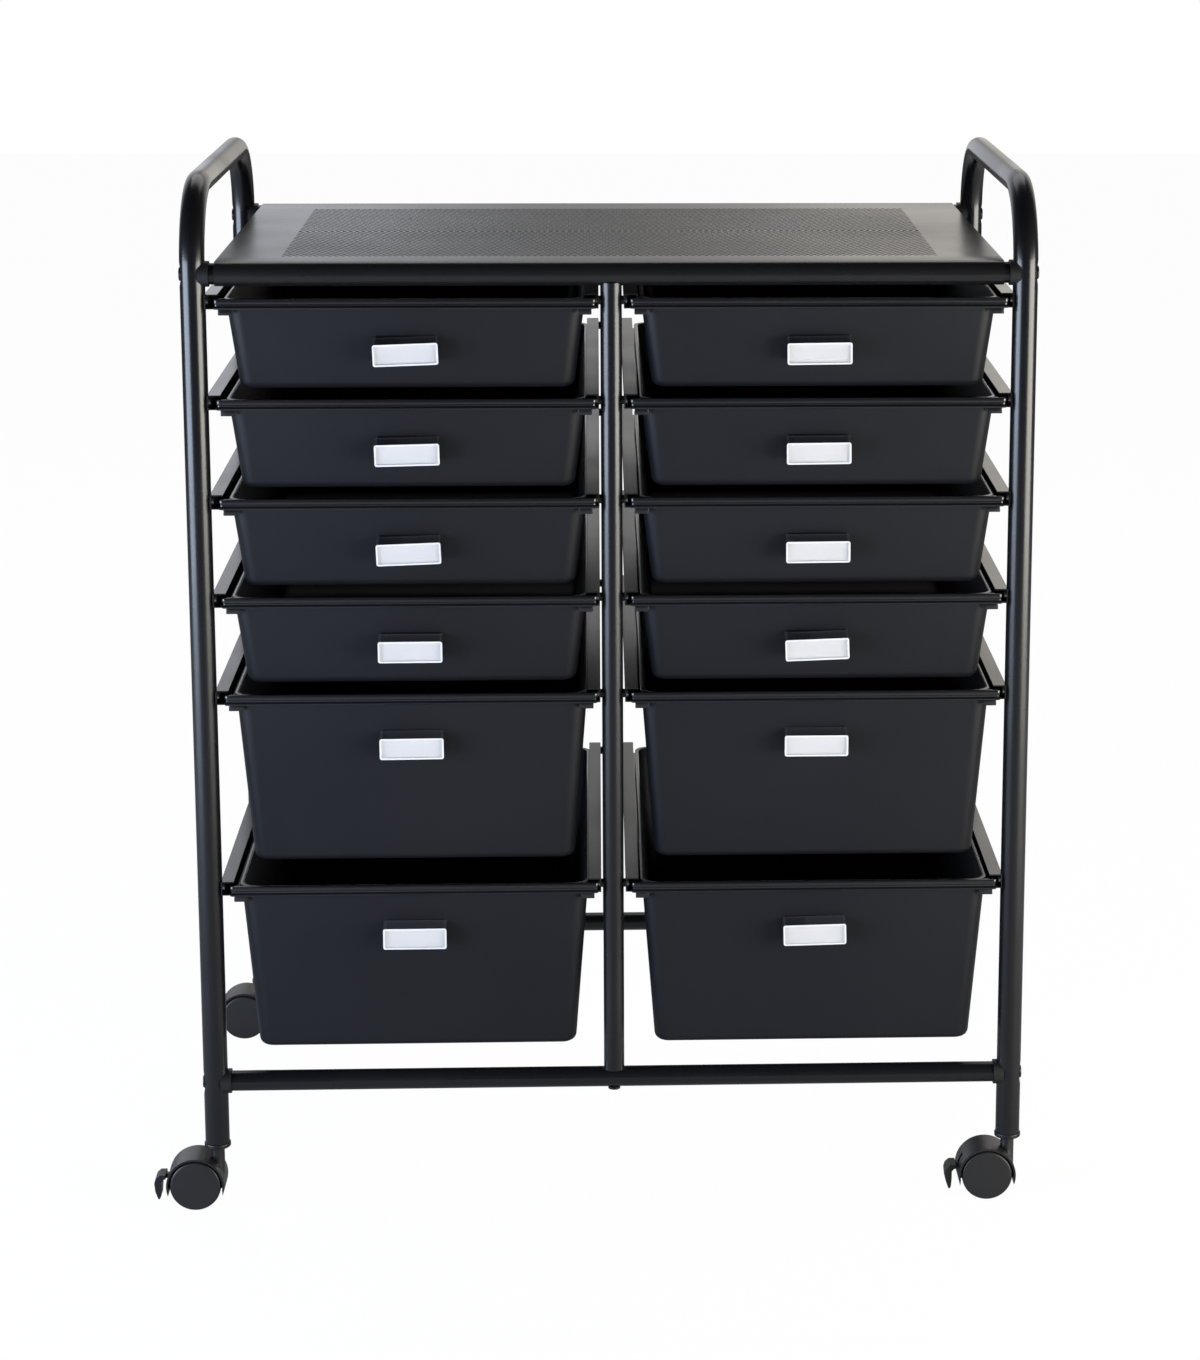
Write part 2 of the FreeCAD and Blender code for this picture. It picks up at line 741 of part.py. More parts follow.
def make_hood(has_brake):
    """Caster hood: cover, web between the wheels and boss round the stem."""
    shell = hood_shell()
    web = rod((0, -web_half_width, axle_height), Y_AXIS, hood_inner_radius + hood_wall / 2, 2 * web_half_width)
    keep = box(
        (-wheel_diameter, -web_half_width, axle_height - web_drop),
        (wheel_diameter, web_half_width, axle_height + wheel_diameter),
    )
    web = web.common(keep)
    boss_low = axle_height + web_drop
    boss_top = socket_bottom - slide_clearance
    boss = rod((caster_trail, 0, boss_low), Z_AXIS, boss_diameter / 2, boss_top - boss_low)
    wheel_space = rod(
        (0, -hood_half_width, axle_height), Y_AXIS, hood_inner_radius, 2 * hood_half_width
    )
    boss = boss.cut(wheel_space)
    whole = fuse_all([shell, web, boss])
    stem_foot = axle_height + web_drop
    stem_bore = rod((caster_trail, 0, stem_foot), Z_AXIS, stem_diameter / 2 + press_clearance, boss_top)
    axle_radius = axle_diameter / 2 + press_clearance
    axle_bore = rod((0, -web_half_width, axle_height), Y_AXIS, axle_radius, 2 * web_half_width)
    whole = whole.cut([stem_bore, axle_bore])
    if has_brake:
        pivot_x, pivot_z = lever_pivot()
        slot_half = lever_arm_width / 2 + slide_clearance
        swing = lever_hub_diameter / 2 + slide_clearance
        pocket = box(
            (-2 * hood_outer_radius, -slot_half, pivot_z - swing - lever_arm_height),
            (pivot_x + swing, slot_half, pivot_z + swing + lever_arm_height + 1.5),
        )
        whole = whole.cut(pocket)
        pin = rod((pivot_x, -web_half_width, pivot_z), Y_AXIS, lever_pin_diameter / 2, 2 * web_half_width)
        whole = fuse_all([whole, pin])
    return whole


def make_caster_pins():
    """Steel stem that stands in the post's socket, and the wheels' axle."""
    stem_low = axle_height + web_drop
    stem_high = socket_bottom + stem_grip_length
    stem = rod((caster_trail, 0, stem_low), Z_AXIS, stem_diameter / 2, stem_high - stem_low)
    rims = [edge for edge in stem.Edges if edge.BoundBox.ZMin > stem_high - 0.01]
    stem = stem.makeChamfer(1.0, rims)
    axle_half = wheel_outer_face - axle_end_cover - slip_clearance
    axle = rod((0, -axle_half, axle_height), Y_AXIS, axle_diameter / 2, 2 * axle_half)
    return Part.makeCompound([stem, axle])


def make_lever():
    """Brake lever: hub on its pin, arm through the hood's slot, and a hooked foot paddle outside."""
    pivot_x, pivot_z = lever_pivot()
    half_arm = lever_arm_width / 2
    hub = rod((pivot_x, -half_arm, pivot_z), Y_AXIS, lever_hub_diameter / 2, lever_arm_width)
    outer_x = -lever_reach
    inner_x = outer_x + lever_paddle_thickness
    bridge_x = -(hood_outer_radius + lever_hood_gap)
    crown_z = axle_height + lever_top_rise
    bridge_z = crown_z - lever_bridge_thickness
    tip_z = axle_height - lever_tip_drop
    arm_low = pivot_z - lever_arm_height / 2
    arm = box((inner_x, -half_arm, arm_low), (pivot_x, half_arm, arm_low + lever_arm_height))
    outline = [
        (bridge_x, crown_z),
        (outer_x + lever_paddle_thickness * 0.75, crown_z),
        (outer_x + lever_paddle_thickness * 0.2, crown_z - lever_top_rise * 0.4),
        (outer_x, axle_height),
        (outer_x + lever_paddle_thickness * 0.12, axle_height - lever_tip_drop * 0.5),
        (outer_x + lever_paddle_thickness * 0.5, tip_z + lever_tip_drop * 0.04),
        (outer_x + lever_paddle_thickness * 0.7, tip_z),
        (outer_x + lever_paddle_thickness * 0.9, tip_z + lever_tip_drop * 0.15),
        (inner_x, axle_height - lever_tip_drop * 0.35),
        (inner_x, bridge_z - lever_bridge_thickness * 0.6),
        (inner_x + lever_bridge_thickness * 0.6, bridge_z),
        (bridge_x, bridge_z),
    ]
    corners = [V(x, -lever_paddle_width / 2, z) for x, z in outline]
    face = Part.Face(Part.makePolygon(corners + corners[:1]))
    paddle = face.extrude(V(0, lever_paddle_width, 0))
    bore_radius = lever_pin_diameter / 2 + running_clearance
    bore = rod((pivot_x, -half_arm, pivot_z), Y_AXIS, bore_radius, lever_arm_width)
    return fuse_all([hub, arm, paddle]).cut(bore)


def make_socket():
    """Plastic socket pressed into a post's end, with a flange under the tube."""
    inner_radius = post_radius - tube_wall - slip_clearance
    flange = rod((0, 0, socket_bottom), Z_AXIS, socket_flange_diameter / 2, socket_flange_thickness)
    rims = [edge for edge in flange.Edges if abs(edge.BoundBox.ZLength) < 0.01]
    flange = flange.makeFillet(1.2, rims)
    groove_z = socket_bottom + (socket_flange_thickness - socket_groove_height) / 2
    groove = rod((0, 0, groove_z), Z_AXIS, socket_flange_diameter / 2, socket_groove_height)
    groove_floor = rod((0, 0, groove_z), Z_AXIS, socket_flange_diameter / 2 - socket_groove_depth, socket_groove_height)
    flange = flange.cut(groove.cut(groove_floor))
    plug = rod((0, 0, socket_bottom), Z_AXIS, inner_radius, socket_flange_thickness + socket_length)
    bore = rod((0, 0, socket_bottom), Z_AXIS, stem_diameter / 2 + running_clearance, socket_length)
    return fuse_all([flange, plug]).cut(bore)


def corners():
    """Names and places of the four posts."""
    places = []
    for depth_name, y in (("front", -half_depth), ("rear", half_depth)):
        for side_name, x in (("left", -half_width), ("right", half_width)):
            places.append((depth_name, side_name, x, y))
    return places


def moved(shape, x, y, z):
    """Copy of a shape, moved."""
    copy = shape.copy()
    copy.translate(V(x, y, z))
    return copy


# Place of the origin: under the middle of the cart's outer box
low_x = -half_width - caster_trail - lever_reach
bolt_head_end = post_radius - dimple_depth + bolt_head_thickness
high_x = half_width + max(bolt_head_end, socket_flange_diameter / 2)
holder_depth = 2 * slip_clearance + card_thickness + holder_wall + holder_rim_height
low_y = min(pull_lip_y - holder_depth, -half_depth - hood_half_width)
high_y = half_depth + hood_half_width
origin_x = (low_x + high_x) / 2
origin_y = (low_y + high_y) / 2


def build_nodes():
    """Every node of the cart, by name, about the middle of the frame."""
    nodes = {}
    right_frame = make_side_frame()
    nodes["side_frame_right"] = right_frame
    nodes["side_frame_left"] = mirrored(right_frame)
    nodes["top_front_crossbar"] = make_crossbar(-half_depth, top_bar_height, True)
    nodes["top_rear_crossbar"] = make_crossbar(half_depth, top_bar_height, True)
    nodes["bottom_front_crossbar"] = make_crossbar(-half_depth, bottom_bar_height, False)
    nodes["bottom_rear_crossbar"] = make_crossbar(half_depth, bottom_bar_height, False)
    nodes["centre_post_front"] = make_centre_post(-half_depth)
    nodes["centre_post_rear"] = make_centre_post(half_depth)
    nodes["crossbar_collars"] = make_collars()
    nodes["frame_bolts"] = make_frame_bolts()
    nodes["shelf_sheet"] = make_shelf()

    nodes["runners_right_outer"] = make_runners(outer_runner_back, outer_runner_mouth)
    nodes["runners_right_inner"] = make_runners(inner_runner_back, inner_runner_mouth)
    nodes["runners_left_outer"] = mirrored(nodes["runners_right_outer"])
    nodes["runners_left_inner"] = mirrored(nodes["runners_right_inner"])
    nodes["runner_screws"] = make_runner_screws()
    nodes["runner_spacers"] = make_runner_spacers()

    shallow_drawer = make_drawer(shallow_drawer_depth, shallow_drawer_draft)
    deep_drawer = make_drawer(deep_drawer_depth, deep_drawer_draft)
    holder = make_label_holder()
    for row, top in enumerate(row_heights()):
        drawer = shallow_drawer if row < shallow_rows else deep_drawer
        for side_name, x in (("left", left_drawer_shift - bay_centre), ("right", bay_centre)):
            label = f"{side_name}_{row + 1}"
            nodes[f"drawer_{label}"] = moved(drawer, x, 0, top)
            nodes[f"label_holder_{label}"] = moved(holder, x, 0, top)

    socket = make_socket()
    nodes["caster_sockets"] = Part.makeCompound([moved(socket, x, y, 0) for _, _, x, y in corners()])
    braked_hood = make_hood(True)
    plain_hood = make_hood(False)
    pins = make_caster_pins()
    lever = make_lever()
    wheels = {"a": make_wheel(-1), "b": make_wheel(1)}
    for depth_name, side_name, x, y in corners():
        place = f"{depth_name}_{side_name}"
        axle_x = x - caster_trail
        hood = braked_hood if depth_name == "front" else plain_hood
        nodes[f"caster_hood_{place}"] = moved(hood, axle_x, y, 0)
        nodes[f"caster_pins_{place}"] = moved(pins, axle_x, y, 0)
        for letter, wheel in wheels.items():
            nodes[f"wheel_{place}_{letter}"] = moved(wheel, axle_x, y, 0)
        if depth_name == "front":
            nodes[f"brake_lever_{side_name}"] = moved(lever, axle_x, y, 0)
    return nodes


os.makedirs("parts", exist_ok=True)
for name, shape in build_nodes().items():
    moved(shape, -origin_x, -origin_y, 0).exportStep(f"parts/{name}.step")
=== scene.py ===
import math

import bmesh
import bpy
from mathutils import Matrix, Vector


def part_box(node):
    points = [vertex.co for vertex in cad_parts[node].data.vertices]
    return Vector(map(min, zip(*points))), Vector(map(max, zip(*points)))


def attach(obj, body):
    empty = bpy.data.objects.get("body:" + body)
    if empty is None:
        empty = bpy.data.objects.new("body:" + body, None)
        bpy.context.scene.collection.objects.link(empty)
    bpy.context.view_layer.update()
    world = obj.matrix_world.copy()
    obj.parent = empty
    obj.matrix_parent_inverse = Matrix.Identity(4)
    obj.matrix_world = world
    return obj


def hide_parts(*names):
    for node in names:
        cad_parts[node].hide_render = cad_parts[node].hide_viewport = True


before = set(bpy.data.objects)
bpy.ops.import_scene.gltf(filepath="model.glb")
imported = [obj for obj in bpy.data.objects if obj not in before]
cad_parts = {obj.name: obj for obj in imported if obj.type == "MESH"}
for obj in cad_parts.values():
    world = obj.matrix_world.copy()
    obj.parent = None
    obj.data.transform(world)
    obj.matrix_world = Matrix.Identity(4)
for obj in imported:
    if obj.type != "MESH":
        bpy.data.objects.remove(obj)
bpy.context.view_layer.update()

mm = 0.001


# Side frames, crossbars and centre posts.
# They are thin steel tube with a satin black powder coat, bent and pressed before coating.
# The coat has a faint orange-peel skin, and its gloss drifts a little along each tube.

def surface_noise():
    """Node group: fine grain and broad patches, both from 0 to 1, over a piece's own coordinates."""
    group = bpy.data.node_groups.new("surface_noise", "ShaderNodeTree")
    for name, value in (("Grain Scale", 900.0), ("Patch Scale", 12.0)):
        socket = group.interface.new_socket(name, in_out="INPUT", socket_type="NodeSocketFloat")
        socket.default_value = value
    for name in ("Grain", "Patch"):
        group.interface.new_socket(name, in_out="OUTPUT", socket_type="NodeSocketFloat")
    nodes = group.nodes
    given = nodes.new("NodeGroupInput")
    result = nodes.new("NodeGroupOutput")
    place = nodes.new("ShaderNodeTexCoord")
    for name, detail in (("Grain", 2.0), ("Patch", 3.0)):
        noise = nodes.new("ShaderNodeTexNoise")
        noise.inputs["Detail"].default_value = detail
        group.links.new(place.outputs["Object"], noise.inputs["Vector"])
        group.links.new(given.outputs[name + " Scale"], noise.inputs["Scale"])
        group.links.new(noise.outputs["Fac"], result.inputs[name])
    return group


noise_group = surface_noise()


def surface_material(
    name, colour, roughness, grain_scale, grain_depth, patch_scale=9.0, shift=0.12, gloss_drift=0.05
):
    """Principled material whose colour and gloss drift in patches, with a fine grained skin."""
    material = bpy.data.materials.new(name)
    material.use_nodes = True
    tree = material.node_tree
    shader = tree.nodes["Principled BSDF"]
    noise = tree.nodes.new("ShaderNodeGroup")
    noise.node_tree = noise_group
    noise.inputs["Grain Scale"].default_value = grain_scale
    noise.inputs["Patch Scale"].default_value = patch_scale
    tint = tree.nodes.new("ShaderNodeMix")
    tint.data_type = "RGBA"
    tint.inputs["A"].default_value = [channel * (1 - shift) for channel in colour] + [1]
    tint.inputs["B"].default_value = [channel * (1 + shift) for channel in colour] + [1]
    tree.links.new(noise.outputs["Patch"], tint.inputs["Factor"])
    tree.links.new(tint.outputs["Result"], shader.inputs["Base Color"])
    gloss = tree.nodes.new("ShaderNodeMapRange")
    gloss.inputs["From Min"].default_value = 0.3
    gloss.inputs["From Max"].default_value = 0.7
    gloss.inputs["To Min"].default_value = roughness - gloss_drift
    gloss.inputs["To Max"].default_value = roughness + gloss_drift
    tree.links.new(noise.outputs["Patch"], gloss.inputs["Value"])
    tree.links.new(gloss.outputs["Result"], shader.inputs["Roughness"])
    bump = tree.nodes.new("ShaderNodeBump")
    bump.inputs["Distance"].default_value = grain_depth
    tree.links.new(noise.outputs["Grain"], bump.inputs["Height"])
    tree.links.new(bump.outputs["Normal"], shader.inputs["Normal"])
    return material, shader


tube_paint, tube_shader = surface_material(
    "satin_black_powder_coat", (0.0065, 0.0068, 0.0085), 0.26, 520.0, 0.000008
)
tube_shader.inputs["Specular IOR Level"].default_value = 0.5


def paint_node(node, material):
    """Gives a solid of the frame its finish."""
    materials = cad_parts[node].data.materials
    materials.clear()
    materials.append(material)


for node in (
    "side_frame_left", "side_frame_right", "top_front_crossbar", "top_rear_crossbar",
    "bottom_front_crossbar", "bottom_rear_crossbar", "centre_post_front", "centre_post_rear",
):
    paint_node(node, tube_paint)


# Collars between posts and crossbars, and the sockets pressed into the posts' ends.
# Both are black moulded plastic, a little duller than the paint.
# Their edges are slightly rounded, as moulded edges are.

dull_plastic, dull_shader = surface_material(
    "black_moulded_plastic", (0.011, 0.011, 0.012), 0.42, 1400.0, 0.00002
)


def new_piece(name, bm, material, sharp_angle=32.0):
    """Object from a bmesh, smooth except where faces meet at a sharper angle."""
    mesh = bpy.data.meshes.new(name)
    bm.to_mesh(mesh)
    bm.free()
    mesh.polygons.foreach_set("use_smooth", [True] * len(mesh.polygons))
    mesh.set_sharp_from_angle(angle=math.radians(sharp_angle))
    mesh.materials.append(material)
    piece = bpy.data.objects.new(name, mesh)
    bpy.context.scene.collection.objects.link(piece)
    return piece


same_place = 0.002 * mm
flat_within = math.radians(0.6)
rounded_from = math.radians(38)


def softened_copy(name, node, material, width):
    """A solid of the frame again, with its edges rounded."""
    bm = bmesh.new()
    bm.from_mesh(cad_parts[node].data)
    bmesh.ops.remove_doubles(bm, verts=bm.verts, dist=same_place)
    bmesh.ops.dissolve_limit(bm, angle_limit=flat_within, verts=bm.verts, edges=bm.edges)
    piece = new_piece(name, bm, material)
    rounding = piece.modifiers.new("rounding", "BEVEL")
    rounding.width = width
    rounding.segments = 2
    rounding.limit_method = "ANGLE"
    rounding.angle_limit = rounded_from
    rounding.harden_normals = True
    return piece


def fit(piece, body, node):
    """Puts a piece on a body in place of a solid of the frame."""
    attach(piece, body)
    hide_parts(node)


for name, node, rounding_width, slot in (
    ("collars", "crossbar_collars", 0.25 * mm, "collar_plastic"),
    ("post_sockets", "caster_sockets", 0.3 * mm, "socket_plastic"),
):
    fit(softened_copy(name, node, dull_plastic, rounding_width), "frame", node)


# Bolts, runner screws and their spacers.
# The bolt heads sit in the posts' dimples and the screw heads lie inside the runners.
# They are zinc plated steel, and the spacers are black plastic sleeves.

zinc, zinc_shader = surface_material("zinc_plated_steel", (0.42, 0.43, 0.43), 0.3, 2500.0, 0.00001)
zinc_shader.inputs["Metallic"].default_value = 1.0
black_zinc, black_zinc_shader = surface_material("blackened_steel", (0.06, 0.06, 0.062), 0.32, 2500.0, 0.00001)
black_zinc_shader.inputs["Metallic"].default_value = 1.0
paint_node("runner_screws", zinc)
paint_node("runner_spacers", dull_plastic)
fit(softened_copy("bolts", "frame_bolts", black_zinc, 0.15 * mm), "frame", "frame_bolts")


# Shelf, one steel sheet with a field of punched holes, rolled round the top crossbars.
# It is made as a front and a rear half that meet between two rows of holes, because the holes are many.
# The field is built from cells with one hole each, and every other row is set half a cell along.

shelf_paint, shelf_shader = surface_material(
    "satin_black_sheet", (0.009, 0.009, 0.010), 0.27, 420.0, 0.000005, patch_scale=5.0
)
hole_pitch = 5.0 * mm
row_pitch = 4.33 * mm
hole_radius = 1.78 * mm
hole_columns = 100
hole_rows = 70
sheet_thickness = 1.0 * mm
seam_distance = 0.01 * mm
field_centre_y = -6.5 * mm
wrap_angle = math.radians(170)
wrap_steps = 10
shelf_low, shelf_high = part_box("shelf_sheet")
shelf_middle = (shelf_low + shelf_high) / 2


def repeat(bm, geometry, step, count):
    """Copies of some geometry, each a step further on."""
    for index in range(1, count):
        made = bmesh.ops.duplicate(bm, geom=geometry)["geom"]
        verts = [item for item in made if isinstance(item, bmesh.types.BMVert)]
        bmesh.ops.translate(bm, verts=verts, vec=Vector(step) * index)


def hole_row(bm, x, y, count):
    """Row of cells, each with a six-sided hole, from its first cell's middle."""
    hole = bmesh.ops.create_circle(bm, segments=6, radius=hole_radius)["verts"]
    edges = list({edge for vert in hole for edge in vert.link_edges})
    made = bmesh.ops.extrude_edge_only(bm, edges=edges)["geom"]
    rim = [item for item in made if isinstance(item, bmesh.types.BMVert)]
    for vert in rim:
        side = 0 if abs(vert.co.x) < hole_radius * 0.2 else math.copysign(hole_pitch / 2, vert.co.x)
        vert.co = (side, math.copysign(row_pitch / 2, vert.co.y), 0)
    bmesh.ops.translate(bm, verts=hole + rim, vec=(x, y, 0))
    repeat(bm, hole + edges + made, (hole_pitch, 0, 0), count)


def plain_cell(bm, x, y):
    """Half a cell without a hole, at the end of a row."""
    quarter = hole_pitch / 4
    verts = bmesh.ops.create_grid(bm, x_segments=1, y_segments=1, size=1.0)["verts"]
    bmesh.ops.scale(bm, verts=verts, vec=(quarter, row_pitch / 2, 1))
    bmesh.ops.translate(bm, verts=verts, vec=(x, y, 0))


def pull_edges(bm, axis, at, to):
    """Draws out the open edges that lie at one place along an axis, and says which edges came."""
    edges = [
        edge for edge in bm.edges
        if edge.is_boundary and all(abs(vert.co[axis] - at) < seam_distance for vert in edge.verts)
    ]
    made = bmesh.ops.extrude_edge_only(bm, edges=edges)["geom"]
    for vert in [item for item in made if isinstance(item, bmesh.types.BMVert)]:
        vert.co[axis] = to
    return [item for item in made if isinstance(item, bmesh.types.BMEdge)]


for end_name, side in (("front", -1), ("rear", 1)):
    field_width = hole_columns * hole_pitch
    half_rows = hole_rows // 2
    bm = bmesh.new()
    hole_row(bm, hole_pitch / 2, row_pitch / 2, hole_columns)
    hole_row(bm, hole_pitch, row_pitch * 1.5, hole_columns - 1)
    plain_cell(bm, hole_pitch / 4, row_pitch * 1.5)
    plain_cell(bm, field_width - hole_pitch / 4, row_pitch * 1.5)
    repeat(bm, bm.verts[:] + bm.edges[:] + bm.faces[:], (0, 2 * row_pitch, 0), (half_rows + 1) // 2)
    if half_rows % 2:
        extra = [face for face in bm.faces if face.calc_center_median().y > half_rows * row_pitch]
        bmesh.ops.delete(bm, geom=extra, context="FACES")
    bmesh.ops.remove_doubles(bm, verts=bm.verts, dist=seam_distance)
    bmesh.ops.scale(bm, verts=bm.verts, vec=(1, side, 1))
    field_left = shelf_middle.x - field_width / 2
    field_middle = shelf_middle.y + field_centre_y
    bmesh.ops.translate(bm, verts=bm.verts, vec=(field_left, field_middle, shelf_high.z))
    pull_edges(bm, 0, field_left, shelf_low.x)
    pull_edges(bm, 0, field_left + field_width, shelf_high.x)
    bar_low, bar_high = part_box(f"top_{end_name}_crossbar")
    bar_axis = (bar_low + bar_high) / 2
    field_end = field_middle + side * half_rows * row_pitch
    outer_edges = pull_edges(bm, 1, field_end, bar_axis.y)
    bmesh.ops.spin(
        bm, geom=outer_edges, cent=(0, bar_axis.y, bar_axis.z), axis=(1, 0, 0), dvec=(0, 0, 0),
        angle=-side * wrap_angle, steps=wrap_steps, use_merge=False,
    )
    bmesh.ops.remove_doubles(bm, verts=bm.verts, dist=seam_distance)
    bmesh.ops.recalc_face_normals(bm, faces=bm.faces)
    top_face = max(bm.faces, key=lambda face: face.calc_center_median().z)
    if top_face.normal.z < 0:
        bmesh.ops.reverse_faces(bm, faces=bm.faces)
    bmesh.ops.solidify(bm, geom=bm.faces[:], thickness=sheet_thickness)
    shelf_half = new_piece(f"shelf_{end_name}_half", bm, shelf_paint)
    fit(shelf_half, "frame", "shelf_sheet")


# Runners, pressed steel channels screwed to the posts, six in each group.
# They have a semi-gloss black coat and slightly rounded folds.

runner_paint, runner_shader = surface_material(
    "semi_gloss_runner_coat", (0.009, 0.009, 0.0095), 0.22, 700.0, 0.00001
)
for place in ("left_outer", "left_inner", "right_inner", "right_outer"):
    runner = softened_copy(f"runner_set_{place}", f"runners_{place}", runner_paint, 0.3 * mm)
    fit(runner, "frame", f"runners_{place}")


# Drawers, moulded in charcoal plastic. Each is a tapered tub with a rim bead, a flange along each side that
# slides in the runners, a ribbed strip across the front with a tab near each end, and a hooked pull.
# The walls and the pull have a fine even texture, and the rim, flanges, strip and tabs are smooth.

drawer_plastic, drawer_shader = surface_material(
    "charcoal_textured_plastic", (0.0100, 0.0110, 0.0145), 0.46, 1500.0, 0.00004, patch_scale=6.0
)
drawer_shader.inputs["Specular IOR Level"].default_value = 0.28
trim_plastic, trim_shader = surface_material(
    "charcoal_smooth_plastic", (0.0095, 0.0100, 0.0125), 0.2, 1100.0, 0.000006, patch_scale=6.0
)
trim_shader.inputs["Specular IOR Level"].default_value = 0.7
wall_thickness = 2.0 * mm
rim_half_width = 134.75 * mm
rim_drop = 3.5 * mm
bead_width = 1.0 * mm
bead_height = 2.0 * mm
corner_radius = 11.0 * mm
floor_rounding = 5.5 * mm
strip_top_drop = 3.0 * mm
strip_height = 8.0 * mm
strip_half_width = 142.6 * mm
strip_depth = 2.6 * mm
lip_to_strip = 8.0 * mm
flange_half_width = 142.0 * mm
flange_drop = 7.9 * mm
flange_thickness = 2.0 * mm
flange_back_gap = 3.0 * mm
tab_inset = 3.1 * mm
tab_width = 10.5 * mm
tab_thickness = 2.0 * mm
tab_drop = 4.5 * mm
tab_overlap = 0.5 * mm
tub_length = 380.5 * mm
pull_half_width = 23.0 * mm
pull_wall = 1.8 * mm
pull_top_drop = 37.0 * mm
pull_lip_height = 14.5 * mm
pull_top_slope = math.tan(math.radians(24))


def add_box(bm, low, high, rounding, segments=2):
    """Block between two corners with rounded edges."""
    verts = bmesh.ops.create_cube(bm, size=1.0)["verts"]
    size = [high[i] - low[i] for i in range(3)]
    bmesh.ops.scale(bm, verts=verts, vec=size)
    bmesh.ops.translate(bm, verts=verts, vec=[(high[i] + low[i]) / 2 for i in range(3)])
    edges = list({edge for vert in verts for edge in vert.link_edges})
    bmesh.ops.bevel(
        bm, geom=edges, offset=rounding, offset_type="OFFSET", affect="EDGES",
        segments=segments, profile=0.5, material=-1, clamp_overlap=True,
    )


def add_tub(bm, depth, draft, front, back):
    """Tapered open tub with a bead round its rim."""
    half_depth = (back - front) / 2
    middle_y = (back + front) / 2
    inset = (depth - rim_drop) * math.tan(draft)
    floor = bmesh.ops.create_grid(bm, x_segments=1, y_segments=1, size=1.0)["verts"]
    bmesh.ops.scale(bm, verts=floor, vec=(rim_half_width - inset, half_depth - inset, 1))
    bmesh.ops.bevel(
        bm, geom=floor, offset=corner_radius, offset_type="OFFSET", affect="VERTICES",
        segments=8, profile=0.5, material=-1,
    )
    face = next(iter(bm.faces))
    bmesh.ops.translate(bm, verts=face.verts, vec=(0, middle_y, -depth))
    floor_edges = list(face.edges)
    ring = list(face.edges)
    now = -inset
    height = -depth
    profile = [
        (-(bead_height * math.tan(draft)), -rim_drop - bead_height),
        (bead_width, -rim_drop - bead_height),
        (bead_width, -rim_drop),
        (-wall_thickness, -rim_drop),
        (-inset - wall_thickness, -depth + wall_thickness),
    ]
    bead_edges = []
    for outset, z in profile:
        made = bmesh.ops.extrude_edge_only(bm, edges=ring)["geom"]
        verts = [item for item in made if isinstance(item, bmesh.types.BMVert)]
        ring = [item for item in made if isinstance(item, bmesh.types.BMEdge)]
        bmesh.ops.translate(bm, verts=verts, vec=(0, -middle_y, z - height))
        grow_x = (rim_half_width + outset) / (rim_half_width + now)
        grow_y = (half_depth + outset) / (half_depth + now)
        bmesh.ops.scale(bm, verts=verts, vec=(grow_x, grow_y, 1))
        bmesh.ops.translate(bm, verts=verts, vec=(0, middle_y, 0))
        now = outset
        height = z
        if outset > 0 or z == -rim_drop:
            bead_edges += ring
    inner_floor = bmesh.ops.contextual_create(bm, geom=ring)["faces"]
    bmesh.ops.recalc_face_normals(bm, faces=bm.faces)
    bmesh.ops.bevel(
        bm, geom=floor_edges, offset=floor_rounding, offset_type="OFFSET", affect="EDGES",
        segments=5, profile=0.5, material=-1,
    )
    inner_edges = list({edge for face in inner_floor for edge in face.edges})
    bmesh.ops.bevel(
        bm, geom=inner_edges, offset=floor_rounding - wall_thickness, offset_type="OFFSET", affect="EDGES",
        segments=4, profile=0.5, material=-1,
    )
    bmesh.ops.bevel(
        bm, geom=[edge for edge in bead_edges if edge.is_valid], offset=0.35 * mm, offset_type="OFFSET",
        affect="EDGES", segments=2, profile=0.5, material=-1,
    )


def add_strip(bm, back):
    """Ribbed strip across the front: a ridge, a groove and a bead, with rounded ends."""
    top = -strip_top_drop
    low = top - strip_height
    front = back - strip_depth
    section = [
        (back, top), (front + 0.9 * mm, top), (front + 0.3 * mm, top - 0.25 * mm), (front, top - 0.9 * mm),
        (front, top - 3.3 * mm), (front + 0.25 * mm, top - 3.9 * mm), (front + 0.7 * mm, top - 4.3 * mm),
        (front + 0.7 * mm, top - 5.4 * mm), (front + 0.2 * mm, top - 5.9 * mm), (front - 0.45 * mm, top - 6.3 * mm),
        (front - 0.7 * mm, top - 6.8 * mm), (front - 0.5 * mm, top - 7.4 * mm), (front, low), (back, low),
    ]
    straight = strip_half_width - strip_depth
    before = set(bm.verts)
    verts = [bm.verts.new((-straight, y, z)) for y, z in section]
    edges = [bm.edges.new((verts[i], verts[i + 1])) for i in range(len(verts) - 1)]
    bmesh.ops.spin(
        bm, geom=edges, cent=(-straight, back, 0), axis=(0, 0, 1), dvec=(0, 0, 0),
        angle=math.radians(-90), steps=6, use_merge=False,
    )
    made = bmesh.ops.extrude_edge_only(bm, edges=edges)["geom"]
    far_verts = [item for item in made if isinstance(item, bmesh.types.BMVert)]
    far_edges = [item for item in made if isinstance(item, bmesh.types.BMEdge)]
    bmesh.ops.translate(bm, verts=far_verts, vec=(2 * straight, 0, 0))
    bmesh.ops.spin(
        bm, geom=far_edges, cent=(straight, back, 0), axis=(0, 0, 1), dvec=(0, 0, 0),
        angle=math.radians(90), steps=6, use_merge=False,
    )
    own = [vert for vert in bm.verts if vert not in before]
    bmesh.ops.remove_doubles(bm, verts=own, dist=seam_distance)
    linked = {edge for vert in bm.verts if vert not in before for edge in vert.link_edges}
    bmesh.ops.holes_fill(bm, edges=[edge for edge in linked if edge.is_boundary], sides=0)


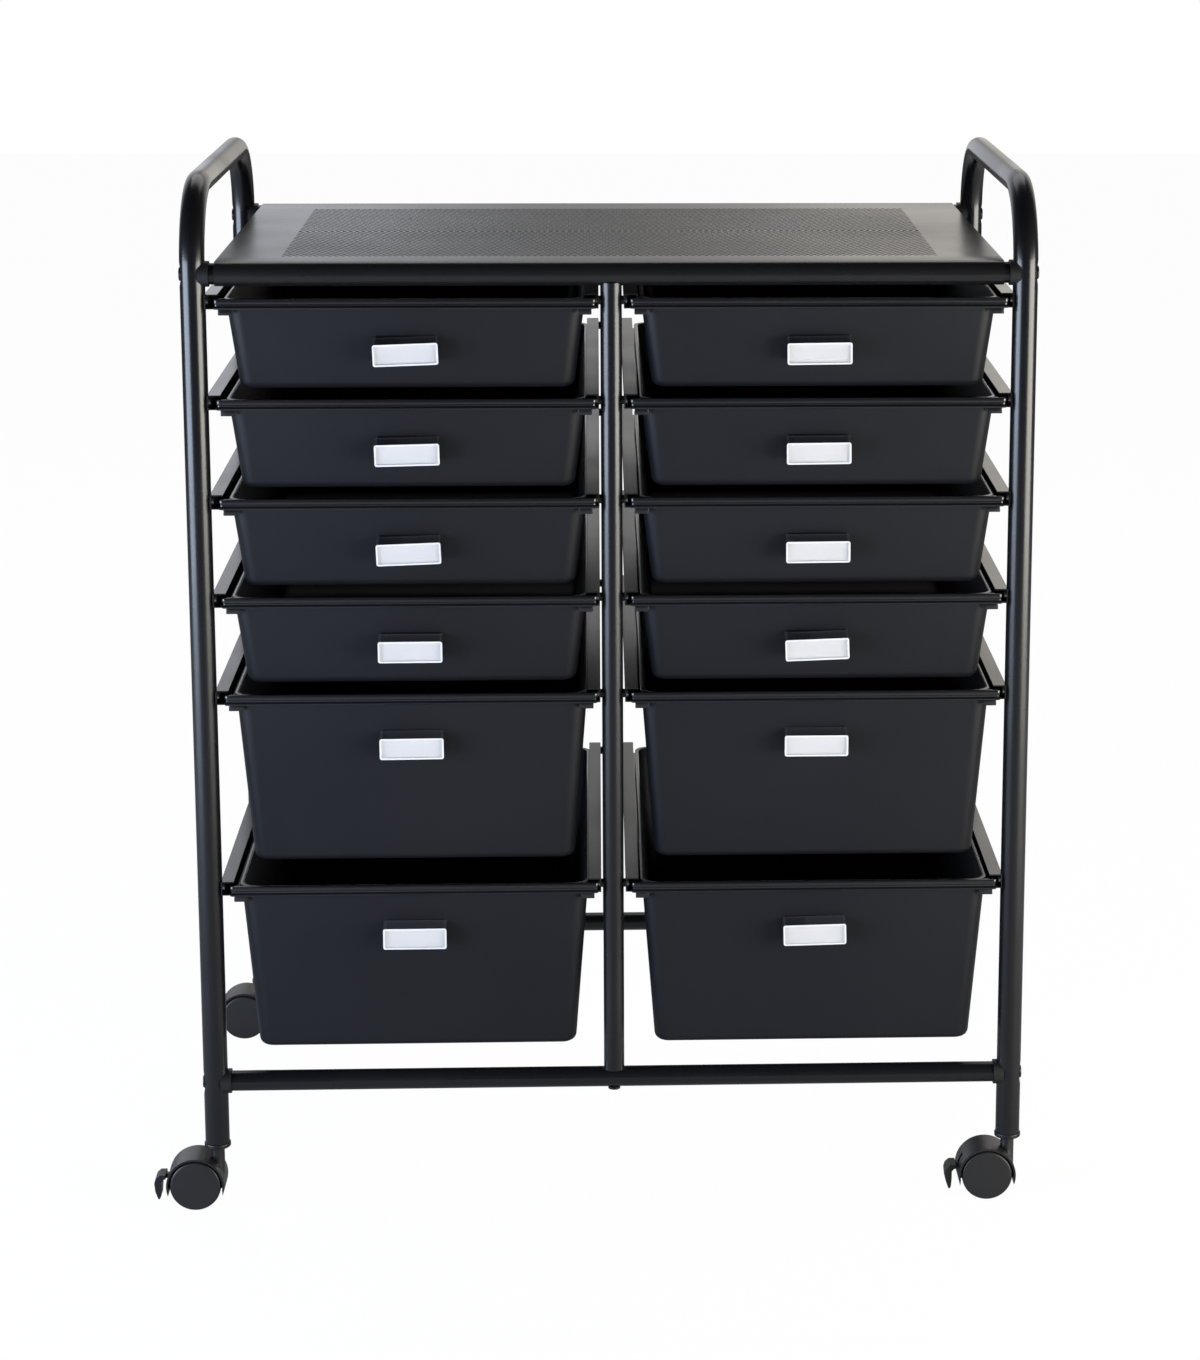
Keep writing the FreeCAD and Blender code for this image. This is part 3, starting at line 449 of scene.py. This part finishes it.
def add_pull(bm, back, draft):
    """Hooked pull: a sloping top, a front lip and two cheeks, open below."""
    lip = back - lip_to_strip
    low_drop = pull_top_drop + pull_lip_height
    wall_top = back + (pull_top_drop - rim_drop) * math.tan(draft) + wall_thickness / 2
    wall_low = back + (low_drop - rim_drop) * math.tan(draft) + wall_thickness / 2
    rise = (wall_top - lip) * pull_top_slope
    outline = [
        (wall_top, rise - pull_top_drop), (lip, -pull_top_drop), (lip, -low_drop), (wall_low, -low_drop),
    ]
    shell = bmesh.new()
    verts = [shell.verts.new((-pull_half_width, y, z)) for y, z in outline]
    cheek = shell.faces.new(verts)
    made = bmesh.ops.extrude_face_region(shell, geom=[cheek])["geom"]
    far = [item for item in made if isinstance(item, bmesh.types.BMVert)]
    bmesh.ops.translate(shell, verts=far, vec=(2 * pull_half_width, 0, 0))
    bmesh.ops.recalc_face_normals(shell, faces=shell.faces)
    open_faces = [face for face in shell.faces if face.normal.z < -0.9 or face.normal.y > 0.7]
    bmesh.ops.delete(shell, geom=open_faces, context="FACES_ONLY")
    outer = [edge for edge in shell.edges if not edge.is_boundary]
    bmesh.ops.bevel(
        shell, geom=outer, offset=0.9 * mm, offset_type="OFFSET", affect="EDGES", segments=3,
        profile=0.5, material=-1,
    )
    bmesh.ops.solidify(shell, geom=shell.faces[:], thickness=pull_wall)
    part = bpy.data.meshes.new("pull_part")
    shell.to_mesh(part)
    shell.free()
    bm.from_mesh(part)
    bpy.data.meshes.remove(part)


def drawer_mesh(depth, draft):
    """Whole drawer about x = 0, with its runner's top at z = 0 and the strip's back at y = 0."""
    bm = bmesh.new()
    add_tub(bm, depth, draft, 0, tub_length)
    add_pull(bm, 0, draft)
    textured = {face for face in bm.faces if face.calc_center_median().z < -rim_drop - bead_height}
    add_strip(bm, 0)
    for side in (-1, 1):
        inner = side * (rim_half_width - wall_thickness)
        outer = side * flange_half_width
        add_box(
            bm, (min(inner, outer), 0, -flange_drop - flange_thickness),
            (max(inner, outer), tub_length - flange_back_gap, -flange_drop), 0.4 * mm,
        )
        tab_outer = side * (strip_half_width - tab_inset)
        tab_inner = tab_outer - side * tab_width
        strip_low = -strip_top_drop - strip_height
        add_box(
            bm, (min(tab_outer, tab_inner), -tab_thickness, strip_low - tab_drop),
            (max(tab_outer, tab_inner), 0, strip_low + tab_overlap), 0.6 * mm,
        )
    for face in bm.faces:
        face.material_index = 0 if face in textured else 1
    return bm


def placed_copy(bm, offset):
    """Copy of a bmesh, moved to its place."""
    copy = bm.copy()
    bmesh.ops.translate(copy, verts=copy.verts, vec=offset)
    return copy


shallow = drawer_mesh(73.0 * mm, math.radians(7.2))
deep = drawer_mesh(139.5 * mm, math.radians(4.4))
columns = ("left", "right")
rows = range(1, 7)
first_deep_row = 5
drawer_places = {}
for column in columns:
    for row in rows:
        label = f"{column}_{row}"
        low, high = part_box(f"drawer_{label}")
        place = Vector(((low.x + high.x) / 2, low.y + lip_to_strip, high.z + strip_top_drop))
        drawer_places[label] = place
        tub = placed_copy(shallow if row < first_deep_row else deep, place)
        drawer = new_piece(f"drawer_tub_{label}", tub, drawer_plastic)
        drawer.data.materials.append(trim_plastic)
        fit(drawer, f"drawer_{label}", f"drawer_{label}")


# Label holders, clear plastic clips over the pulls, each over a plain white card.
# A clip has a front plate with a raised rim round it, a sloping top and a hook below.
# The rim is clear plastic painted near white, a painted highlight for the light it gathers, and each clip sits a
# little crooked.

card_paper, card_shader = surface_material(
    "white_card", (0.93, 0.92, 0.92), 0.6, 3000.0, 0.00001, shift=0.01
)
clear_plastic, clear_shader = surface_material(
    "clear_plastic", (0.25, 0.26, 0.29), 0.08, 1200.0, 0.000005, shift=0.02, gloss_drift=0.03
)
clear_shader.inputs["Alpha"].default_value = 0.08
# The rim's near-white colour is a painted highlight: clear plastic painted white where it catches the light.
rim_painted_highlight, rim_highlight_shader = surface_material(
    "clear_rim_painted_highlight", (0.93, 0.935, 0.95), 0.16, 1200.0, 0.000005, shift=0.01, gloss_drift=0.03
)

label_half_width = 24.5 * mm
label_wall = 1.0 * mm
label_front = -(lip_to_strip + 2.0 * mm)
label_top = -36.1 * mm
label_low = -52.65 * mm
label_rim_width = 1.3 * mm
label_rim_height = 0.4 * mm
label_corner = 1.7 * mm
label_top_reach = 8.5 * mm
label_hook_reach = 3.6 * mm
card_margin = 0.6 * mm
card_thickness = 0.3 * mm
card_gap = 0.15 * mm
label_middle = Vector((0, 0, (label_top + label_low) / 2))
label_tilts = {
    "left": (-2.1, -1.3, -2.1, -0.2, -0.5, -0.1),
    "right": (-0.6, -0.5, -0.4, -2.0, 0.0, -1.3),
}


def label_clip():
    """Clear clip about its drawer's place: a front plate, a sloping top and a hook below."""
    bm = bmesh.new()
    plate_front = label_front + label_rim_height
    plate_back = plate_front + label_wall
    reach = plate_back + label_top_reach
    slope = label_top_reach * pull_top_slope
    section = [
        (plate_front, label_low), (plate_front, label_top), (plate_back, label_top),
        (reach, label_top + slope), (reach, label_top + slope - label_wall),
        (plate_back, label_top - label_wall), (plate_back, label_low + label_wall),
        (plate_back + label_hook_reach, label_low + label_wall), (plate_back + label_hook_reach, label_low),
    ]
    side = bm.faces.new([bm.verts.new((-label_half_width, y, z)) for y, z in section])
    made = bmesh.ops.extrude_face_region(bm, geom=[side])["geom"]
    far = [item for item in made if isinstance(item, bmesh.types.BMVert)]
    bmesh.ops.translate(bm, verts=far, vec=(2 * label_half_width, 0, 0))
    bmesh.ops.recalc_face_normals(bm, faces=bm.faces)
    front = min(bm.faces, key=lambda face: face.calc_center_median().y)
    upright = [edge for edge in front.edges if abs(edge.verts[0].co.z - edge.verts[1].co.z) > 1 * mm]
    bmesh.ops.bevel(
        bm, geom=upright, offset=0.7 * mm, offset_type="OFFSET", affect="EDGES", segments=3,
        profile=0.5, material=-1,
    )
    return bm


def rounded_plate(half_width, half_height, front, back, corner):
    """Plate about the label's middle with rounded corners."""
    bm = bmesh.new()
    verts = bmesh.ops.create_grid(bm, x_segments=1, y_segments=1, size=1.0)["verts"]
    bmesh.ops.scale(bm, verts=verts, vec=(half_width, half_height, 1))
    bmesh.ops.bevel(
        bm, geom=verts, offset=corner, offset_type="OFFSET", affect="VERTICES", segments=5,
        profile=0.5, material=-1,
    )
    bmesh.ops.rotate(bm, verts=bm.verts, cent=(0, 0, 0), matrix=Matrix.Rotation(math.radians(90), 3, "X"))
    made = bmesh.ops.extrude_face_region(bm, geom=bm.faces[:])["geom"]
    far = [item for item in made if isinstance(item, bmesh.types.BMVert)]
    bmesh.ops.translate(bm, verts=far, vec=(0, back - front, 0))
    bmesh.ops.translate(bm, verts=bm.verts, vec=label_middle + Vector((0, front, 0)))
    bmesh.ops.recalc_face_normals(bm, faces=bm.faces)
    return bm


def label_rim():
    """Raised rim round the clip's front plate."""
    half_height = (label_top - label_low) / 2
    bm = rounded_plate(label_half_width, half_height, label_front, label_front + label_rim_height, label_corner)
    broad = [face for face in bm.faces if abs(face.normal.y) > 0.9]
    bmesh.ops.inset_individual(bm, faces=broad, thickness=label_rim_width, use_even_offset=True)
    inner = [edge for face in broad for edge in face.edges]
    bmesh.ops.delete(bm, geom=broad, context="FACES_ONLY")
    bmesh.ops.bridge_loops(bm, edges=inner)
    bmesh.ops.recalc_face_normals(bm, faces=bm.faces)
    return bm


def card():
    """Card behind the clip's front plate."""
    back = -(lip_to_strip + card_gap)
    half_height = (label_top - label_low) / 2 - label_wall
    return rounded_plate(label_half_width - card_margin, half_height, back - card_thickness, back, 0.8 * mm)


for column in columns:
    for row in rows:
        label = f"{column}_{row}"
        tilt = Matrix.Rotation(math.radians(label_tilts[column][row - 1]), 3, "Y")
        for name, bm, material in (
            ("label_clip", label_clip(), clear_plastic), ("label_rim", label_rim(), rim_painted_highlight),
            ("label_card", card(), card_paper),
        ):
            bmesh.ops.rotate(bm, verts=bm.verts, cent=label_middle, matrix=tilt)
            bmesh.ops.translate(bm, verts=bm.verts, vec=drawer_places[label])
            piece = new_piece(f"{name}_{label}", bm, material)
            fit(piece, f"drawer_{label}", f"label_holder_{label}")


# Casters, twin wheels under an arched hood that turns on a steel stem.
# Hoods, wheels and brake levers are black moulded plastic.

hood_plastic, hood_shader = surface_material("caster_hood_plastic", (0.0125, 0.0125, 0.0135), 0.36, 1100.0, 0.00002)
wheel_plastic, wheel_shader = surface_material("caster_wheel_plastic", (0.015, 0.015, 0.016), 0.44, 1100.0, 0.00002)
bright_steel, bright_shader = surface_material("bright_steel", (0.5, 0.5, 0.5), 0.25, 2500.0, 0.00001)
bright_shader.inputs["Metallic"].default_value = 1.0

for depth_name in ("front", "rear"):
    for column in columns:
        corner = f"{depth_name}_{column}"
        hood = softened_copy(f"hood_{corner}", f"caster_hood_{corner}", hood_plastic, 0.35 * mm)
        fit(hood, f"caster_{corner}", f"caster_hood_{corner}")
        paint_node(f"caster_pins_{corner}", bright_steel)
        for letter in ("a", "b"):
            wheel = softened_copy(f"disc_{corner}_{letter}", f"wheel_{corner}_{letter}", wheel_plastic, 0.2 * mm)
            fit(wheel, f"wheel_{corner}_{letter}", f"wheel_{corner}_{letter}")
for column in columns:
    lever = softened_copy(f"lever_{column}", f"brake_lever_{column}", dull_plastic, 0.5 * mm)
    fit(lever, f"brake_lever_{column}", f"brake_lever_{column}")


# Floor, light and camera.
# The floor is a plain pale sheet. A cool panel at the left and a warm one at the right light the cart, with a
# weak one behind, and the paint mirrors a backdrop that is bright only straight behind it.

floor_mesh = bmesh.new()
bmesh.ops.create_grid(floor_mesh, x_segments=1, y_segments=1, size=8.0)
floor_material = bpy.data.materials.new("pale_floor")
floor_material.use_nodes = True
floor_tree = floor_material.node_tree
floor_shader = floor_tree.nodes["Principled BSDF"]
floor_shader.inputs["Base Color"].default_value = (0.80, 0.80, 0.80, 1)
floor_shader.inputs["Roughness"].default_value = 0.9
floor_shader.inputs["Specular IOR Level"].default_value = 0.0
floor_glow = floor_tree.nodes.new("ShaderNodeEmission")
floor_glow.inputs["Strength"].default_value = 1.037
floor_mix = floor_tree.nodes.new("ShaderNodeMixShader")
floor_path = floor_tree.nodes.new("ShaderNodeLightPath")
floor_share = floor_tree.nodes.new("ShaderNodeMath")
floor_share.operation = "MULTIPLY"
floor_share.inputs[1].default_value = 0.94
floor_tree.links.new(floor_path.outputs["Is Camera Ray"], floor_share.inputs[0])
floor_tree.links.new(floor_share.outputs[0], floor_mix.inputs["Fac"])
floor_tree.links.new(floor_shader.outputs[0], floor_mix.inputs[1])
floor_tree.links.new(floor_glow.outputs[0], floor_mix.inputs[2])
floor_tree.links.new(floor_mix.outputs[0], floor_tree.nodes["Material Output"].inputs["Surface"])
floor = new_piece("floor", floor_mesh, floor_material)

world = bpy.data.worlds.new("studio")
world.use_nodes = True
world_tree = world.node_tree
studio = world_tree.nodes["Background"]
heading = world_tree.nodes.new("ShaderNodeTexCoord")
split = world_tree.nodes.new("ShaderNodeSeparateXYZ")
world_tree.links.new(heading.outputs["Generated"], split.inputs[0])


def fade(source, start, end, low, high):
    """Smooth change of a strength along one direction of the studio."""
    node = world_tree.nodes.new("ShaderNodeMapRange")
    node.interpolation_type = "SMOOTHSTEP"
    for name, value in (("From Min", start), ("From Max", end), ("To Min", low), ("To Max", high)):
        node.inputs[name].default_value = value
    world_tree.links.new(source, node.inputs["Value"])
    return node.outputs["Result"]


def arithmetic(operation, first, second=None):
    """One step of arithmetic on the studio's values."""
    node = world_tree.nodes.new("ShaderNodeMath")
    node.operation = operation
    world_tree.links.new(first, node.inputs[0])
    if second is not None:
        world_tree.links.new(second, node.inputs[1])
    return node.outputs[0]


backdrop = fade(split.outputs["Y"], 0.5, 0.97, 0.08, 1.08)
overhead = fade(split.outputs["Z"], 0.35, 0.75, 1.0, 0.2)
sideways = arithmetic("ABSOLUTE", split.outputs["X"])
flanks = fade(sideways, 0.0, 0.10, 0.52, 1.0)
strength = arithmetic("MULTIPLY", arithmetic("MULTIPLY", backdrop, overhead), flanks)
world_tree.links.new(strength, studio.inputs["Strength"])
warmth = world_tree.nodes.new("ShaderNodeMix")
warmth.data_type = "RGBA"
warmth.inputs["A"].default_value = (0.90, 0.93, 1.0, 1)
warmth.inputs["B"].default_value = (1.0, 0.95, 0.88, 1)
world_tree.links.new(fade(split.outputs["X"], -0.12, 0.12, 0.0, 1.0), warmth.inputs["Factor"])
world_tree.links.new(warmth.outputs["Result"], studio.inputs["Color"])
white = world_tree.nodes.new("ShaderNodeBackground")
white.inputs["Color"].default_value = (1, 1, 1, 1)
white.inputs["Strength"].default_value = 1.0
path = world_tree.nodes.new("ShaderNodeLightPath")
seen = world_tree.nodes.new("ShaderNodeMath")
seen.operation = "MAXIMUM"
world_mix = world_tree.nodes.new("ShaderNodeMixShader")
world_tree.links.new(path.outputs["Is Camera Ray"], seen.inputs[0])
world_tree.links.new(path.outputs["Is Transmission Ray"], seen.inputs[1])
world_tree.links.new(seen.outputs[0], world_mix.inputs["Fac"])
world_tree.links.new(studio.outputs[0], world_mix.inputs[1])
world_tree.links.new(white.outputs[0], world_mix.inputs[2])
world_tree.links.new(world_mix.outputs[0], world_tree.nodes["World Output"].inputs["Surface"])
bpy.context.scene.world = world


def soft_panel(name, place, aim, size, power, colour):
    """Large lamp that faces a point."""
    data = bpy.data.lights.new(name, "AREA")
    data.shape = "RECTANGLE"
    data.size, data.size_y = size
    data.energy = power
    data.color = colour
    lamp = bpy.data.objects.new(name, data)
    lamp.location = place
    lamp.rotation_euler = (Vector(aim) - Vector(place)).to_track_quat("-Z", "Y").to_euler()
    bpy.context.scene.collection.objects.link(lamp)


panel_aside = 2.08
panel_forward = 1.2
panel_height = 0.47
panel_size = (1.9, 0.9)
panel_aim = (0, 0, panel_height)
soft_panel("left_panel", (-panel_aside, -panel_forward, panel_height), panel_aim, panel_size, 66, (0.68, 0.80, 1.0))
soft_panel("right_panel", (panel_aside, -panel_forward, panel_height), panel_aim, panel_size, 64, (1.0, 0.96, 0.88))
soft_panel("back_panel", (0, 1.6, 2.6), (0, 0, 0.5), (2.4, 1.2), 14, (1.0, 1.0, 1.0))

focal_pixels = 3298.06
picture_height = 1360
sensor = 36.0
camera_data = bpy.data.cameras.new("camera")
camera_data.sensor_fit = "VERTICAL"
camera_data.sensor_width = sensor
camera_data.sensor_height = sensor
camera_data.lens = focal_pixels * sensor / picture_height
camera_data.shift_x = -0.1029
camera_data.shift_y = -0.14
camera_data.clip_start = 0.1
camera = bpy.data.objects.new("camera", camera_data)
yaw, pitch, roll = (math.radians(angle) for angle in (-2.5091, -11.62, -0.2318))
turn = Matrix.Rotation(yaw, 4, "Z") @ Matrix.Rotation(pitch, 4, "X") @ Matrix.Rotation(roll, 4, "Y")
level = Matrix.Rotation(math.radians(90), 4, "X")
camera.matrix_world = Matrix.Translation((0.009483, -2.646791, 1.081984)) @ turn @ level
bpy.context.scene.collection.objects.link(camera)
bpy.context.scene.camera = camera
bpy.context.scene.view_settings.view_transform = "Standard"
